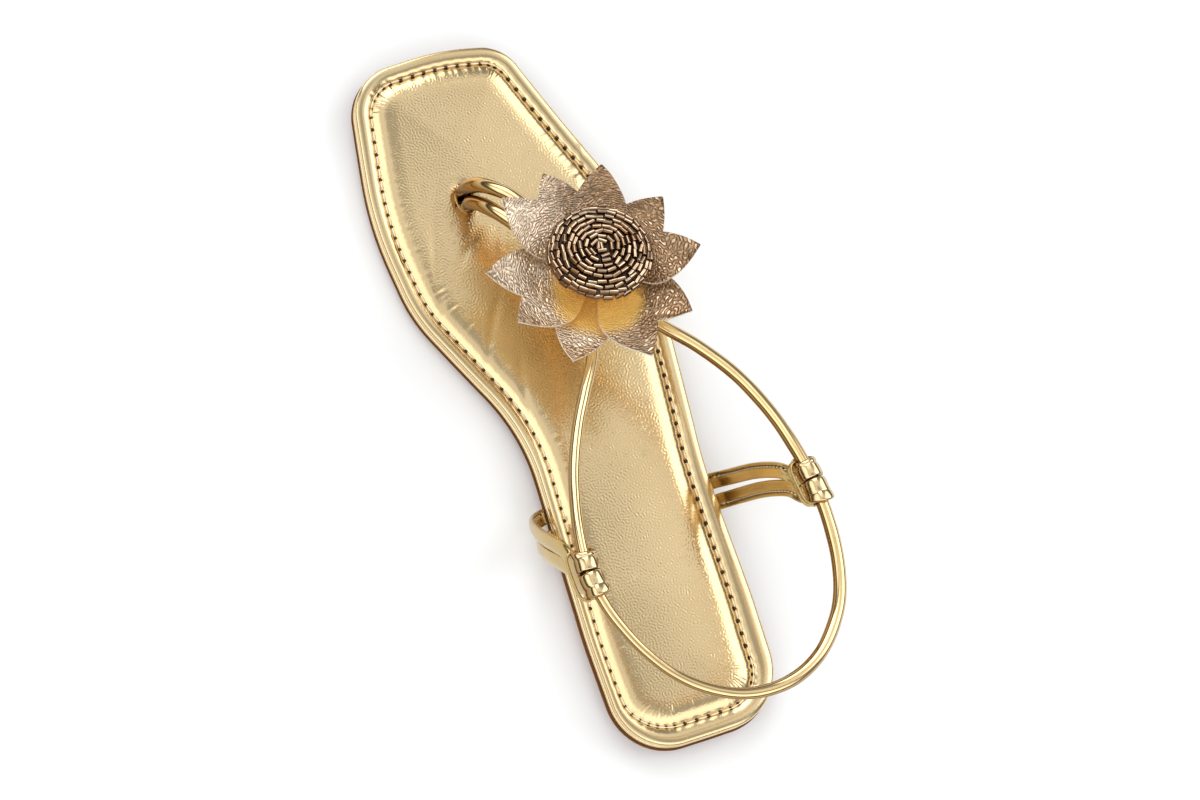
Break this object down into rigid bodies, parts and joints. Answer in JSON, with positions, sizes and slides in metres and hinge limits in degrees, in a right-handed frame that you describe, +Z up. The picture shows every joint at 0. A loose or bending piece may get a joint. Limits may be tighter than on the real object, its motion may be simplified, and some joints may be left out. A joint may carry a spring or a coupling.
{
  "type": "flat thong sandal",
  "caption": "Flat sandal for the right foot with a round gold leather cord as its upper, two side straps, and a leather flower with a beaded centre on the toe strap.",
  "frame": {"origin": "on the floor, under the middle of the flat spot of the heel", "axes": "+Z up, +Y from the heel to the toes, +X to the outer side of the right foot, where the little toe is"},
  "size_m": [0.0983, 0.2546, 0.068],
  "materials": {
    "outsole_rubber": "brown moulded compound with a glossy edge",
    "gold_leather": "metallic gold leather, satin, fine grain",
    "gold_leather_cord": "metallic gold leather over a round core, glossy",
    "petal_leather": "crackled metallic rose-bronze leather",
    "bronze_beads": "metallic bronze bugle beads in rings"
  },
  "bodies": {
    "root": {"outsole": "outsole_rubber", "midsole": "gold_leather", "footbed": "gold_leather", "cord_upper": "gold_leather_cord", "keeper_lateral": "gold_leather", "keeper_medial": "gold_leather", "petal_lower_1": "petal_leather", "petal_lower_2": "petal_leather", "petal_lower_3": "petal_leather", "petal_lower_4": "petal_leather", "petal_lower_5": "petal_leather", "petal_upper_1": "petal_leather", "petal_upper_2": "petal_leather", "petal_upper_3": "petal_leather", "petal_upper_4": "petal_leather", "petal_upper_5": "petal_leather", "flower_cup": "gold_leather", "bead_disc": "bronze_beads"}
  },
  "joints": []
}
